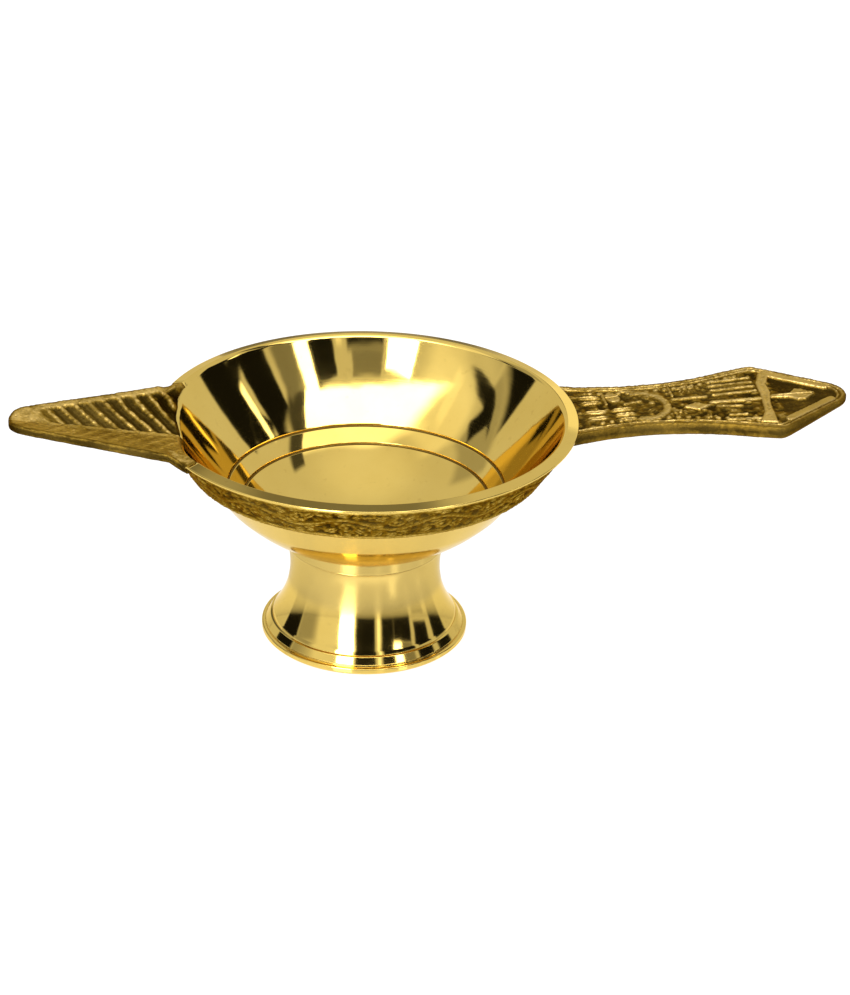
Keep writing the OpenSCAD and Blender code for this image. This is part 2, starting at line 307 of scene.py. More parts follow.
# ---------------------------------------------------------------- noise used for castings
def value_noise(x, y, seed, wrap=None):
    """Smooth noise from a lattice of random numbers, about -1 to 1. wrap is the period in x."""
    local = np.random.default_rng(seed)
    table = local.uniform(-1, 1, (512, 512))
    xi, yi = np.floor(x).astype(int), np.floor(y).astype(int)
    fx, fy = x - xi, y - yi
    fx, fy = fx * fx * (3 - 2 * fx), fy * fy * (3 - 2 * fy)
    per = wrap or 512

    def at(i, j):
        return table[np.mod(i, per) % 512, np.mod(j, 512)]

    return (at(xi, yi) * (1 - fx) * (1 - fy) + at(xi + 1, yi) * fx * (1 - fy)
            + at(xi, yi + 1) * (1 - fx) * fy + at(xi + 1, yi + 1) * fx * fy)


# ---------------------------------------------------------------- shapes for relief, all in millimetres
def seg_dist(x, y, ax, ay, bx, by):
    """Distance to the straight line from a to b."""
    dx, dy = bx - ax, by - ay
    t = np.clip(((x - ax) * dx + (y - ay) * dy) / (dx * dx + dy * dy), 0, 1)
    return np.hypot(x - ax - t * dx, y - ay - t * dy)


def blob(x, y, cx, cy, a, b, turn=0.0):
    """About the distance outside an ellipse, negative inside."""
    c, s = math.cos(math.radians(turn)), math.sin(math.radians(turn))
    u, v = (x - cx) * c + (y - cy) * s, -(x - cx) * s + (y - cy) * c
    k = np.hypot(u / a, v / b)
    return (k - 1) * min(a, b)


def poly_dist(x, y, pts):
    """Signed distance to a polygon, negative inside."""
    d = np.full(np.shape(x), 1e9)
    inside = np.zeros(np.shape(x), bool)
    for k in range(len(pts)):
        ax, ay = pts[k]
        bx, by = pts[(k + 1) % len(pts)]
        d = np.minimum(d, seg_dist(x, y, ax, ay, bx, by))
        cross = (ay > y) != (by > y)
        with np.errstate(divide="ignore", invalid="ignore"):
            inside ^= cross & (x < (bx - ax) * (y - ay) / (by - ay + 1e-12) + ax)
    return np.where(inside, -d, d)


def dome(d, width):
    """Round-topped ridge: 1 on the centre line, 0 at width from it."""
    return np.sqrt(np.clip(1 - (d / width) ** 2, 0, 1))


def plateau(d, soft):
    """1 inside (d below 0), falling to 0 over soft."""
    return 1 - smooth_step(-soft, soft * 0.4, d)


# ---------------------------------------------------------------- rim band
BAND_BENDS, BAND_PATTERN = 26, 14.3  # bends of the vine, and the height that its pattern is drawn for


def band_relief(s, t, around):
    """Height of the cast scroll, 0 to 1. s runs round the band, and t up its slope from the lower edge."""
    p = around / BAND_BENDS
    wave = TAU * s / (2 * p)
    middle, swing = 7.1, 2.3
    mid = middle + swing * np.sin(wave)
    slope = swing * TAU / (2 * p) * np.cos(wave)
    vine = np.abs(t - mid) / np.sqrt(1 + slope ** 2)
    h = 0.85 * dome(vine, 0.75)
    k = np.floor(s / p)
    u = s - (k + 0.5) * p
    flip = np.where(np.mod(k, 2) == 0, 1.0, -1.0)
    v = (t - middle) * flip
    # a curled shoot in each bend of the vine
    cx, cy = 0.4, -1.6
    rad = np.hypot(u - cx, v - cy)
    ang = np.mod(np.arctan2(v - cy, u - cx) + 1.2, TAU)
    spiral = np.abs(rad - (2.5 - 0.27 * ang))
    h = np.maximum(h, 0.8 * dome(spiral, 0.55) * (rad < 2.9))
    h = np.maximum(h, 1.0 * dome(rad, 0.8))
    # leaves off both sides
    leaves = [(-3.1, -3.5, 2.1, 1.0, 40), (3.6, -3.3, 2.1, 1.0, -50), (0.4, -5.2, 1.9, 0.85, 5),
              (-4.6, 0.6, 1.5, 0.8, 80), (0.0, 4.9, 2.2, 0.9, -12), (3.0, 4.3, 1.6, 0.8, 40),
              (-3.2, 4.4, 1.6, 0.8, -55)]
    for lx, ly, a, b, turn in leaves:
        d = blob(u, v, lx, ly, a, b, turn)
        c, sn = math.cos(math.radians(turn)), math.sin(math.radians(turn))
        across = np.abs(-(u - lx) * sn + (v - ly) * c)
        vein = 1 - 0.45 * dome(across, 0.3)
        h = np.maximum(h, 0.95 * plateau(d, 0.45) * vein)
    # slim plain edges
    h = np.maximum(h, 1.0 * plateau(np.abs(t - 0.75) - 0.6, 0.25))
    h = np.maximum(h, 1.0 * plateau(np.abs(t - 13.6) - 0.6, 0.25))
    buds = value_noise(s / 0.95, t / 0.95, 5, int(round(around / 0.95)))
    ground = 0.34 + 0.50 * buds
    grain = 0.14 * value_noise(s / 0.45, t / 0.45, 6, int(round(around / 0.45)))
    return np.maximum(0.88 * h, ground) + grain


def build_band():
    """Conical collar, whose outer face is cut into by the relief."""
    low = np.array([BAND_LOW_R, BAND_Z])
    high = np.array([BAND_HIGH_R, LIP_UNDER_Z])
    slant = np.linalg.norm(high - low)
    n_round, n_up = 1300, 70
    around = TAU * (BAND_LOW_R + BAND_HIGH_R) / 2
    ang = np.arange(n_round) * TAU / n_round
    t = np.linspace(0, slant, n_up)
    tt, aa = np.meshgrid(t, ang, indexing="ij")
    s = aa / TAU * around
    h = band_relief(s, tt * BAND_PATTERN / slant, around)
    deep = 0.55 * (1 - np.clip(h, 0, RELIEF_TOP) / RELIEF_TOP)
    edge = np.minimum(tt, slant - tt)
    deep += 0.25 * np.clip(1 - edge / 0.3, 0, 1) ** 2
    along = (high - low) / slant
    normal = np.array([along[1], -along[0]])
    r = low[0] + along[0] * tt - normal[0] * deep
    z = low[1] + along[1] * tt - normal[1] * deep
    outer = np.stack([r * np.cos(aa), r * np.sin(aa), z], -1)
    # back face, just on the bowl's wall
    back = [[wall_out_r(LIP_UNDER_Z) + 0.02, LIP_UNDER_Z - 0.01], [wall_out_r(50.0) + 0.02, 50.0],
            [wall_out_r(BAND_Z) + 0.02, BAND_Z + 0.02]]
    rows = [np.stack([q[0] * np.cos(ang), q[0] * np.sin(ang), np.full(n_round, q[1])], -1) for q in back]
    grid = np.concatenate([outer, np.array(rows)], 0)
    relief = np.concatenate([np.clip(h, 0, 1), np.full((3, n_round), 0.3)], 0)
    return make_mesh("rim_band_cast", notched(grid.reshape(-1, 3)),
                     grid_faces(len(grid), n_round, True, True), relief.ravel())


# ---------------------------------------------------------------- flat castings: spout and handle
PLATE_DEPTH, PLATE_EDGE_R = 0.75, 0.45  # depth of the relief, and radius of the outline's edges
# the sides' low value paints shade on them, dark
SIDE_SHADE, UNDER_TONE = 0.14, 0.36  # relief values that give the plain faces their colour


def spaced(n):
    """Numbers from -1 to 1, closer together at both ends."""
    t = np.linspace(-1, 1, n)
    return 0.65 * t + 0.35 * np.sin(t * math.pi / 2)


def root_x(width, s, radius):
    """x at which the line y = s * width(x) meets the round neighbour, whose radius is a function of x and y."""
    x = np.full(np.shape(s), 44.0)
    for _ in range(60):
        y = s * width(x)
        x = 0.5 * x + 0.5 * np.sqrt(np.maximum(radius(x, y) ** 2 - y ** 2, 1))
    return x


def edge_distance(x, y, width, x_tip):
    """Distance inside the outline y = +-width(x), from well inside the rim to the tip."""
    tip = x_tip - 3 * np.cos(np.linspace(0, math.pi / 2, 80))
    xs = np.concatenate([np.linspace(38.0, x_tip - 3, 500), tip])
    ys = width(xs)
    best = np.full(np.shape(x), 1e9)
    ay = np.abs(y)
    for k in range(len(xs) - 1):
        best = np.minimum(best, seg_dist(x, ay, xs[k], ys[k], xs[k + 1], ys[k + 1] + 1e-9))
    return best


def edge_drop(d):
    """How far the rounded edge falls at distance d inside the outline."""
    short = np.clip(PLATE_EDGE_R - d, 0, None)
    return PLATE_EDGE_R - np.sqrt(np.clip(PLATE_EDGE_R ** 2 - short ** 2, 0, None))


def cast_plate(name, width, x_tip, top_z, bottom_z, relief, root_top, root_low, sign, n_long, n_wide):
    """Closed casting with a relief on its top, drawn along +X and turned half round where sign is -1."""
    f = np.concatenate([np.linspace(0, 1, n_long)[:-1] * 0.93,
                        1 - 0.07 * np.cos(np.linspace(0, math.pi / 2, 40))])
    s = spaced(n_wide)
    ss, ff = np.meshgrid(s, f, indexing="xy")

    def plan(radius):
        xr = root_x(width, ss[0], radius)[None, :]
        x = xr + (x_tip - xr) * ff
        return x, ss * width(x)

    x, y = plan(root_top)
    d = edge_distance(x, y, width, x_tip)
    h = relief(x, y, d)
    z = top_z(x, y) - PLATE_DEPTH * (1 - h) - edge_drop(d)
    top = np.stack([x, y, z], -1)
    xb, yb = plan(root_low)
    db = edge_distance(xb, yb, width, x_tip)
    rough = 0.05 * value_noise(xb / 1.3, yb / 1.3, 11) + 0.03 * value_noise(xb / 0.5, yb / 0.5, 12)
    zb = bottom_z(xb, yb) + edge_drop(db) + rough * (db > 0.2) + 0.06
    low = np.stack([xb, yb, zb], -1)[:, ::-1]
    side_a = (top[:, -1:] * 0.5 + low[:, :1] * 0.5)
    side_b = (top[:, :1] * 0.5 + low[:, -1:] * 0.5)
    loop = np.concatenate([top, side_a, low, side_b], 1)
    # the top is darker within about a millimetre of the outline
    edge_darkened_top = h * (1 - 0.55 * smooth_step(1.1, 0.0, d))
    # painted shade: the side faces get a dark tone
    side = np.full((len(f), 1), SIDE_SHADE)
    tone = np.concatenate([edge_darkened_top, side, np.full(h.shape, UNDER_TONE), side], 1)
    loop[..., 0] *= sign
    loop[..., 1] *= sign
    rows, cols = loop.shape[:2]
    faces = grid_faces(rows, cols, False, True)
    faces.append(list(range(cols)))
    faces.append(list(range((rows - 1) * cols, rows * cols))[::-1])
    return make_mesh(name, loop.reshape(-1, 3), faces, tone.ravel())


# spout
def leaf_relief(x, y, d):
    """Slanting barbs on both sides of a midrib, inside a plain border."""
    ay = np.abs(y)
    turn = math.radians(50)
    q = (x - 47.5) * math.sin(turn) - ay * math.cos(turn) + 0.012 * ay ** 2
    pitch = 4.2 * math.sin(turn)
    wob = 0.25 * value_noise(x / 5, y / 5, 21)
    phase = np.abs(np.mod(q + wob, pitch) - pitch / 2)
    ridge = dome(phase, 0.62)
    wide = 0.55 * dome(phase, 1.5) ** 2
    h = np.maximum(ridge, wide)
    h = h * (0.86 + 0.22 * value_noise(x / 0.9, y / 0.9, 24))
    # barbs start at the midrib and fade out before the tip and at the plain border
    inside = smooth_step(1.6, 2.6, d) * (1 - smooth_step(70, 77, x - 0.25 * ay)) * smooth_step(0.4, 1.2, ay)
    plain = 0.93 + 0.10 * value_noise(x / 1.6, y / 1.6, 25)
    # painted highlight: the near half is paler, with shallower barbs
    h = np.where(y > 0, 0.80 + 0.20 * h, h)
    h = plain + (h - plain) * inside
    rib = dome(ay, 0.85) * (1 - smooth_step(66, 76, x))
    h = np.maximum(h, rib)
    h = h + 0.10 * value_noise(x / 0.6, y / 0.6, 22) + 0.05 * value_noise(x / 2.3, y / 2.3, 23)
    return np.clip(h, 0, RELIEF_TOP)


def build_spout():
    return cast_plate(
        "spout_leaf", leaf_width, LEAF_END, lambda x, y: leaf_top(x, y) + 0.21,
        lambda x, y: leaf_top(x, y) - LEAF_T, leaf_relief,
        lambda x, y: inner_wall_r(leaf_top(x, y)) + 0.2,
        lambda x, y: inner_wall_r(leaf_top(x, y) - LEAF_T) + 0.3, -1, 370, 190)


# handle
GRIP_X, GRIP_W, GRIP_SIDE_R = 66.0, 22.4, 62.6
SPEAR_X, SPEAR_W = 97.0, 2 * reach("handle", 1)
GRIP_TURN = math.radians(16.7)
SLOPE_X = GRIP_X + GRIP_SIDE_R * math.sin(GRIP_TURN)
SLOPE_W = GRIP_W / 2 + GRIP_SIDE_R * (1 - math.cos(GRIP_TURN))
HANDLE_END, HANDLE_TIP_R = reach("handle", 0), 7.0
HANDLE_TIP_X = HANDLE_END - HANDLE_TIP_R
CORNER_DIR = math.atan2(SPEAR_W / 2, SPEAR_X - HANDLE_TIP_X)
TIP_DIR = CORNER_DIR - math.acos(HANDLE_TIP_R / math.hypot(SPEAR_W / 2, SPEAR_X - HANDLE_TIP_X))
TIP_TANGENT = (HANDLE_TIP_X + HANDLE_TIP_R * math.cos(TIP_DIR), HANDLE_TIP_R * math.sin(TIP_DIR))
HANDLE_T, HANDLE_TILT, HANDLE_TAPER = 3.2, math.radians(1.6), math.radians(4.5)


def handle_width(x):
    """Half-width of the handle: a waisted grip, a flare, a softened corner, a slope and a round tip."""
    x = np.asarray(x, float)
    grip = GRIP_W / 2 + GRIP_SIDE_R - np.sqrt(np.clip(GRIP_SIDE_R ** 2 - (x - GRIP_X) ** 2, 0, None))
    flare = SLOPE_W + (x - SLOPE_X) * (SPEAR_W / 2 - SLOPE_W) / (SPEAR_X - SLOPE_X)
    fall = SPEAR_W / 2 + (x - SPEAR_X) * (TIP_TANGENT[1] - SPEAR_W / 2) / (TIP_TANGENT[0] - SPEAR_X)
    tip = np.sqrt(np.clip(HANDLE_TIP_R ** 2 - (x - HANDLE_TIP_X) ** 2, 0, None))
    corner = (flare + fall - np.sqrt((flare - fall) ** 2 + 1.6)) / 2
    w = np.where(x < SLOPE_X, grip, corner)
    return np.where(x > TIP_TANGENT[0], tip, w)


def handle_top(x, y):
    return 56.0 + (x - 50) * math.tan(HANDLE_TILT) + 0 * y


def handle_bottom(x, y):
    taper = np.clip(x - SPEAR_X, 0, None) * math.tan(HANDLE_TAPER)
    return handle_top(x, y) - HANDLE_T + taper


def handle_relief(x, y, d):
    """Ornament in a raised border. The coordinates are millimetres from the lamp's axis."""
    buds = value_noise(x / 1.15, y / 0.95, 31)
    calm = smooth_step(98.5, 101, x)
    h = 0.30 + (0.42 - 0.34 * calm) * buds - 0.18 * calm

    def add(value):
        nonlocal h
        h = np.maximum(h, value)

    def bar(ax, ay, bx, by, half, high=0.9):
        add(high * dome(seg_dist(x, y, ax, ay, bx, by), half))

    def leaf(cx, cy, a, b, turn):
        c, sn = math.cos(math.radians(turn)), math.sin(math.radians(turn))
        across = np.abs(-(x - cx) * sn + (y - cy) * c)
        add(0.9 * plateau(blob(x, y, cx, cy, a, b, turn), 0.5) * (1 - 0.5 * dome(across, 0.35)))

    # raised border with a groove along its middle
    add(0.80 * plateau(d - 2.5, 0.35) * (1 - 0.45 * dome(np.abs(d - 1.55), 0.35)))
    # leaf panels over the grip
    for cy, turn in ((5.8, -6), (3.0, 4), (-2.2, -3), (-5.6, 5)):
        leaf(54.6, cy, 3.6, 1.15, turn)
    leaf(60.2, 5.2, 2.0, 2.9, 8)
    bar(58.0, 1.6, 58.0, 8.4, 0.5)
    for cy in (-1.6, -4.4, -7.0):
        leaf(61.5, cy, 3.9, 1.0, 3)
    bar(62.5, 1.2, 66.5, 2.2, 0.6)
    bar(62.5, 8.2, 67.5, 7.6, 0.6)
    # C-scroll opening to the bowl
    ang = np.degrees(np.arctan2(y + 0.3, x - 66.2))
    ring = np.abs(np.hypot((x - 66.2) * 1.08, (y + 0.3) * 0.93) - 6.6)
    add(1.0 * dome(ring, 1.25) * (np.abs(ang) < 105))
    add(1.0 * dome(np.hypot(x - 69.0, y - 1.0), 1.0))
    add(0.95 * dome(np.hypot(x - 66.3, y - 6.8), 1.25))
    add(0.95 * dome(np.hypot(x - 66.3, y + 7.2), 1.25))
    leaf(68.2, -3.0, 2.0, 0.8, 40)
    leaf(68.2, 4.2, 2.0, 0.8, -40)
    # blossoms and a lozenge, with plain bars by them
    for cx, cy, n, size in ((78.4, 7.4, 5, 2.5), (74.7, -5.2, 5, 2.0), (81.2, -8.8, 4, 2.0)):
        for k in range(n):
            a = math.radians(90 + 360 * k / n)
            leaf(cx + size * 0.62 * math.cos(a), cy + size * 0.62 * math.sin(a),
                 size * 0.55, size * 0.36, math.degrees(a))
        add(1.0 * dome(np.hypot(x - cx, y - cy), size * 0.28))
    add(0.95 * plateau(poly_dist(x, y, [(75.8, -2.6), (79.4, -0.4), (83, -2.6), (79.4, -4.8)]), 0.4))
    bar(74.2, 2.0, 82.5, 2.4, 0.7)
    bar(74.6, 3.9, 74.6, 9.6, 0.5)
    # striped panels, stem and cross-bar
    for cy in (11.0, 8.6, 6.2, 3.6):
        bar(84.6, cy - 0.6, 95.2, cy + 0.3, 0.62)
    bar(83.2, -1.0, 95.4, -0.6, 0.8, 1.0)
    bar(84.2, -3.4, 90.0, -3.8, 0.6)
    bar(85.0, -10.8, 93.0, -11.3, 0.75)
    bar(86.0, -8.4, 90.0, -8.6, 0.6)
    leaf(87.6, -6.2, 2.6, 0.8, 0)
    crossbar = poly_dist(x, y, [(98.0, 13.8), (101.0, 12.6), (98.7, 7.0), (98.6, 2.0), (97.4, -3.0),
                                (96.9, -8.0), (96.4, -14.6), (91.8, -13.6), (94.3, -8.0), (95.0, -3.0),
                                (95.6, 2.0), (96.0, 8.0)])
    add((1.05 - 0.12 * dome(crossbar + 1.4, 0.5)) * plateau(crossbar, 0.5))
    # arrow leaf
    arrow = poly_dist(x, y, [(97.5, -0.9), (97.5, 0.9), (102.6, 1.1), (104.4, 3.4), (106.2, 3.0),
                             (109.6, 0.4), (106.2, -2.6), (104.2, -2.8), (102.4, -1.2)])
    add(0.95 * plateau(arrow, 0.45) * (1 - 0.4 * dome(np.abs(y - 0.2), 0.35)))
    # chevron that frames the tip
    chevron = seg_dist(x, np.abs(y), 99.6, 12.6, 112.0, 3.6)
    add(1.05 * plateau(chevron - 1.25, 0.4))
    # beads along both long edges
    along = np.mod(x - 54, 2.3) - 1.15
    bead = np.hypot(along, np.abs(y) - (handle_width(x) - 3.9))
    add(0.95 * dome(bead, 0.85) * ((x > 53.5) & (x < 93.5)))
    h = h + 0.12 * value_noise(x / 0.5, y / 0.5, 32) + 0.06 * value_noise(x / 2.1, y / 2.1, 33)
    return np.clip(h, 0, RELIEF_TOP)


def build_handle():
    return cast_plate(
        "handle_cast", handle_width, HANDLE_END, handle_top, handle_bottom, handle_relief,
        lambda x, y: 49.85 + 0 * x, lambda x, y: 47.8 + 0 * x, 1, 340, 230)


# ---------------------------------------------------------------- fasteners
def build_nut():
    low, high, flats, n = WEB_Z - 4.2, WEB_Z - 1.0, 7.0, 180
    ang = np.arange(n) * TAU / n
    hexr = flats / 2 / np.cos(np.mod(ang, math.pi / 3) - math.pi / 6)
    corner = flats / 2 / math.cos(math.pi / 6)
    rows = []

    def ring(z, r):
        rows.append(np.stack([r * np.cos(ang), r * np.sin(ang), np.full(n, z)], -1))

    def chamfer(cone):
        return np.minimum(hexr - 0.04, cone)

    bore = STUD_R + 0.02
    ring(low, np.full(n, bore + 0.35))
    ring(low, np.full(n, flats / 2 - 0.25))
    for k in range(7):
        f = k / 6
        ring(low + 0.55 * f, chamfer(flats / 2 - 0.15 + (corner - flats / 2 + 0.15) * f))
    ring(high - 0.55, chamfer(corner))
    for k in range(1, 7):
        f = 1 - k / 6
        ring(high - 0.55 * f, chamfer(flats / 2 - 0.15 + (corner - flats / 2 + 0.15) * f))
    ring(high, np.full(n, bore + 0.35))
    ring(high - 0.35, np.full(n, bore))
    ring(low + 0.35, np.full(n, bore))
    grid = np.array(rows)
    return make_mesh("nut_hex", grid.reshape(-1, 3), grid_faces(len(grid), n, True, True))


def build_washer():
    profile = rounded([[STUD_R + 0.2, 14.0], [6.0, 14.0], [6.0, 15.0], [STUD_R + 0.2, 15.0]],
                      [0.1, 0.3, 0.15, 0.1], 4)
    return lathe("washer_flat", resample(np.array(profile), 0.6), 120)


def build_stud():
    low, high, pitch, deep = WEB_Z - 5.2, FLOOR_Z - 1.4, 0.7, 0.34
    n, per_turn = 48, 10
    zs = np.linspace(low, high, int((high - low) / pitch * per_turn) + 1)
    ang = np.arange(n) * TAU / n
    zz, aa = np.meshgrid(zs, ang, indexing="ij")
    phase = np.mod((zz - low) / pitch - aa / TAU, 1.0)
    tri = np.abs(phase - 0.5) * 2
    r = STUD_R - deep * np.clip(tri * 1.3 - 0.15, 0, 1)
    end = np.minimum(zz - low, high - zz)
    r = np.minimum(r, STUD_R - 0.45 + end * 0.9)
    grid = np.stack([r * np.cos(aa), r * np.sin(aa), zz], -1)
    verts = np.vstack([grid.reshape(-1, 3), [[0, 0, low], [0, 0, high]]])
    faces = grid_faces(len(zs), n, False, True)
    a, b = len(verts) - 2, len(verts) - 1
    last = (len(zs) - 1) * n
    faces += [(a, (k + 1) % n, k) for k in range(n)]
    faces += [(b, last + k, last + (k + 1) % n) for k in range(n)]
    return make_mesh("stud_threaded", verts, faces)


# ---------------------------------------------------------------- materials
class Tree:
    """Small helper for building node trees."""

    def __init__(self, material):
        material.use_nodes = True
        self.nodes = material.node_tree.nodes
        self.links = material.node_tree.links
        self.nodes.clear()

    def add(self, kind, settings=None, **inputs):
        node = self.nodes.new(kind)
        for key, value in (settings or {}).items():
            setattr(node, key, value)
        for key, value in inputs.items():
            self.put(node.inputs[key.replace("_", " ")], value)
        return node

    def put(self, socket, value):
        if isinstance(value, bpy.types.NodeSocket):
            self.links.new(value, socket)
        else:
            socket.default_value = value

    def math(self, op, a, b=0.0):
        node = self.nodes.new("ShaderNodeMath")
        node.operation = op
        self.put(node.inputs[0], a)
        self.put(node.inputs[1], b)
        return node.outputs[0]

    def mix(self, factor, a, b):
        """Mixes two colours, each a socket or three numbers."""
        node = self.nodes.new("ShaderNodeMix")
        node.data_type = "RGBA"
        self.put(node.inputs[0], factor)
        self.put(node.inputs[6], a if isinstance(a, bpy.types.NodeSocket) else (*a, 1))
        self.put(node.inputs[7], b if isinstance(b, bpy.types.NodeSocket) else (*b, 1))
        return node.outputs[2]

    def ramp(self, value, stops):
        node = self.nodes.new("ShaderNodeValToRGB")
        stop = node.color_ramp.elements
        while len(stop) < len(stops):
            stop.new(0.5)
        for element, (position, color) in zip(stop, stops):
            element.position = position
            element.color = (*color, 1)
        self.put(node.inputs[0], value)
        return node.outputs[0]

    def noise(self, vector, scale, detail, rough):
        node = self.nodes.new("ShaderNodeTexNoise")
        self.put(node.inputs["Vector"], vector)
        node.inputs["Scale"].default_value = scale
        node.inputs["Detail"].default_value = detail
        node.inputs["Roughness"].default_value = rough
        return node.outputs["Fac"]

    def remap(self, value, a, b, c, d, smooth=False):
        node = self.nodes.new("ShaderNodeMapRange")
        node.interpolation_type = "SMOOTHSTEP" if smooth else "LINEAR"
        self.put(node.inputs["Value"], value)
        for key, v in zip(("From Min", "From Max", "To Min", "To Max"), (a, b, c, d)):
            node.inputs[key].default_value = v
        return node.outputs["Result"]

    def bump(self, height, distance, normal=None):
        node = self.add("ShaderNodeBump", Height=height, Strength=1.0, Distance=distance)
        if normal is not None:
            self.put(node.inputs["Normal"], normal)
        return node.outputs[0]

    def metal(self, color, roughness, normal, edge_tint=None):
        """Metallic shader on the material's output. edge_tint is its colour at grazing angles."""
        shader = self.add("ShaderNodeBsdfPrincipled", Base_Color=color, Metallic=1.0, Roughness=roughness,
                          Normal=normal)
        if edge_tint is not None:
            shader.inputs["Specular Tint"].default_value = (*edge_tint, 1)
        self.add("ShaderNodeOutputMaterial", Surface=shader.outputs[0])
        return shader


def turned_vector(tree, coords):
    """Radius and height, so that a noise of it runs in rings, as a lathe leaves them."""
    sep = tree.add("ShaderNodeSeparateXYZ", Vector=coords)
    x, y, z = sep.outputs
    r = tree.math("SQRT", tree.math("ADD", tree.math("MULTIPLY", x, x), tree.math("MULTIPLY", y, y)))
    return tree.add("ShaderNodeCombineXYZ", X=r, Y=z).outputs[0]


def polished_brass(name, rough_low, rough_high, aniso, line_height):
    """Turned and polished brass. Its relief is above 0 in an engraved groove and below 0 on the bowl's outside
    and the foot's neck, and both get painted shade.
    """
    mat = bpy.data.materials.new(name)
    t = Tree(mat)
    coords = t.add("ShaderNodeTexCoord").outputs["Object"]
    rings = turned_vector(t, coords)
    mark = t.add("ShaderNodeAttribute", {"attribute_name": "relief"}).outputs["Fac"]
    painted_shade = t.remap(mark, 0.05, 0.6, 0, 0.93, True)
    # colour: uneven gold, small brown spots, painted shade on the bowl's outside and the foot's neck, and
    # darker painted shade in the engraved lines
    tone = t.noise(coords, 45, 4, 0.6)
    color = t.mix(t.remap(tone, 0.35, 0.7, 0, 1), (0.770, 0.550, 0.140), (0.720, 0.500, 0.115))
    spots = t.noise(coords, 420, 3, 0.65)
    color = t.mix(t.remap(spots, 0.62, 0.80, 0, 0.35), color, (0.43, 0.26, 0.05))
    # painted shade on the bowl's outside and the foot's neck
    color = t.mix(t.remap(mark, 0, -1, 0, 1, True), color, (0.58, 0.42, 0.12))
    # painted shade in the engraved lines
    color = t.mix(painted_shade, color, (0.10, 0.055, 0.008))
    # roughness: smears of the cloth, fine turning lines, and rougher where the painted shade is, in the
    # engraved lines and under the bowl
    lines = t.noise(rings, 2600, 2, 0.6)
    wide = t.noise(rings, 420, 3, 0.6)
    smear = t.noise(coords, 70, 3, 0.55)
    rough = t.math("ADD", t.remap(smear, 0.3, 0.75, rough_low, rough_high), t.remap(lines, 0.3, 0.8, 0, 0.03))
    rough = t.math("ADD", rough, t.math("MULTIPLY", painted_shade, 0.4))
    rough = t.math("ADD", rough, t.remap(mark, 0, -1, 0, 0.14, True))
    height = t.math("ADD", t.math("MULTIPLY", lines, 0.5), wide)
    turned = t.bump(height, line_height)
    shader = t.metal(color, rough, t.bump(t.noise(coords, 95, 2, 0.5), 0.00004, turned), (0.98, 0.88, 0.62))
    if aniso:
        shader.inputs["Anisotropic"].default_value = aniso
        shader.inputs["Anisotropic Rotation"].default_value = 0.25
        tangent = t.add("ShaderNodeTangent", {"direction_type": "RADIAL", "axis": "Z"})
        t.put(shader.inputs["Tangent"], tangent.outputs[0])
    return mat


def cast_brass(name, dark, mid, bright, low, high):
    """Casting with patina in the hollows of its relief and rubbed metal on the high spots."""
    mat = bpy.data.materials.new(name)
    t = Tree(mat)
    coords = t.add("ShaderNodeTexCoord").outputs["Object"]
    height = t.add("ShaderNodeAttribute", {"attribute_name": "relief"}).outputs["Fac"]
    patch = t.noise(coords, 160, 4, 0.6)
    fine = t.noise(coords, 900, 3, 0.6)
    level = t.math("ADD", height, t.math("MULTIPLY", t.math("SUBTRACT", patch, 0.5), 0.7))
    level = t.math("ADD", level, t.math("MULTIPLY", t.math("SUBTRACT", fine, 0.5), 0.42))
    color = t.ramp(level, [(low, dark), ((low + high) / 2, mid), (high, bright)])
    tint = t.noise(coords, 55, 3, 0.5)
    color = t.mix(t.remap(tint, 0.3, 0.7, 0, 0.5), color, (0.24, 0.155, 0.03))
    pits = t.bump(t.noise(coords, 1500, 4, 0.65), 0.00018)
    t.metal(color, t.remap(level, low, high, 0.62, 0.30), pits, (0.30, 0.19, 0.03))
    return mat


def plated_steel(name):
    """Dull plating for the nut, washer and stud."""
    mat = bpy.data.materials.new(name)
    t = Tree(mat)
    coords = t.add("ShaderNodeTexCoord").outputs["Object"]
    tone = t.noise(coords, 700, 4, 0.6)
    color = t.mix(t.remap(tone, 0.35, 0.7, 0, 1), (0.52, 0.52, 0.50), (0.38, 0.37, 0.33))
    grain = t.bump(t.noise(coords, 3500, 3, 0.6), 0.00006)
    t.metal(color, t.remap(tone, 0.3, 0.8, 0.25, 0.5), grain)
    return mat


# ---------------------------------------------------------------- pieces
bowl_mat = polished_brass("polished_bowl", 0.03, 0.055, 0.0, 0.0000015)
foot_mat = polished_brass("turned_foot", 0.05, 0.10, 0.5, 0.000005)
band_mat = cast_brass("cast_band", (0.036, 0.019, 0.002), (0.195, 0.108, 0.006), (0.60, 0.42, 0.10),
                      0.10, 1.0)
leaf_mat = cast_brass("cast_leaf", (0.022, 0.012, 0.001), (0.25, 0.150, 0.018), (0.92, 0.63, 0.19),
                      0.28, 0.98)
handle_mat = cast_brass("cast_handle", (0.022, 0.012, 0.001), (0.27, 0.158, 0.018), (0.90, 0.64, 0.23),
                      0.16, 0.95)
steel_mat = plated_steel("plated_steel")

for piece, node, slot, material in (
        (build_bowl(), "bowl", "polished_brass", bowl_mat),
        (build_band(), "rim_band", "cast_brass", band_mat),
        (build_spout(), "spout", "cast_brass", leaf_mat),
        (build_handle(), "handle", "cast_brass", handle_mat),
        (build_foot(), "foot", "polished_brass", foot_mat),
        (build_stud(), "foot_stud", "steel", steel_mat),
        (build_washer(), "foot_washer", "steel", steel_mat),
        (build_nut(), "foot_nut", "steel", steel_mat)):
    piece.data.materials.append(material)
    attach(piece, "root")
    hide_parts(node)

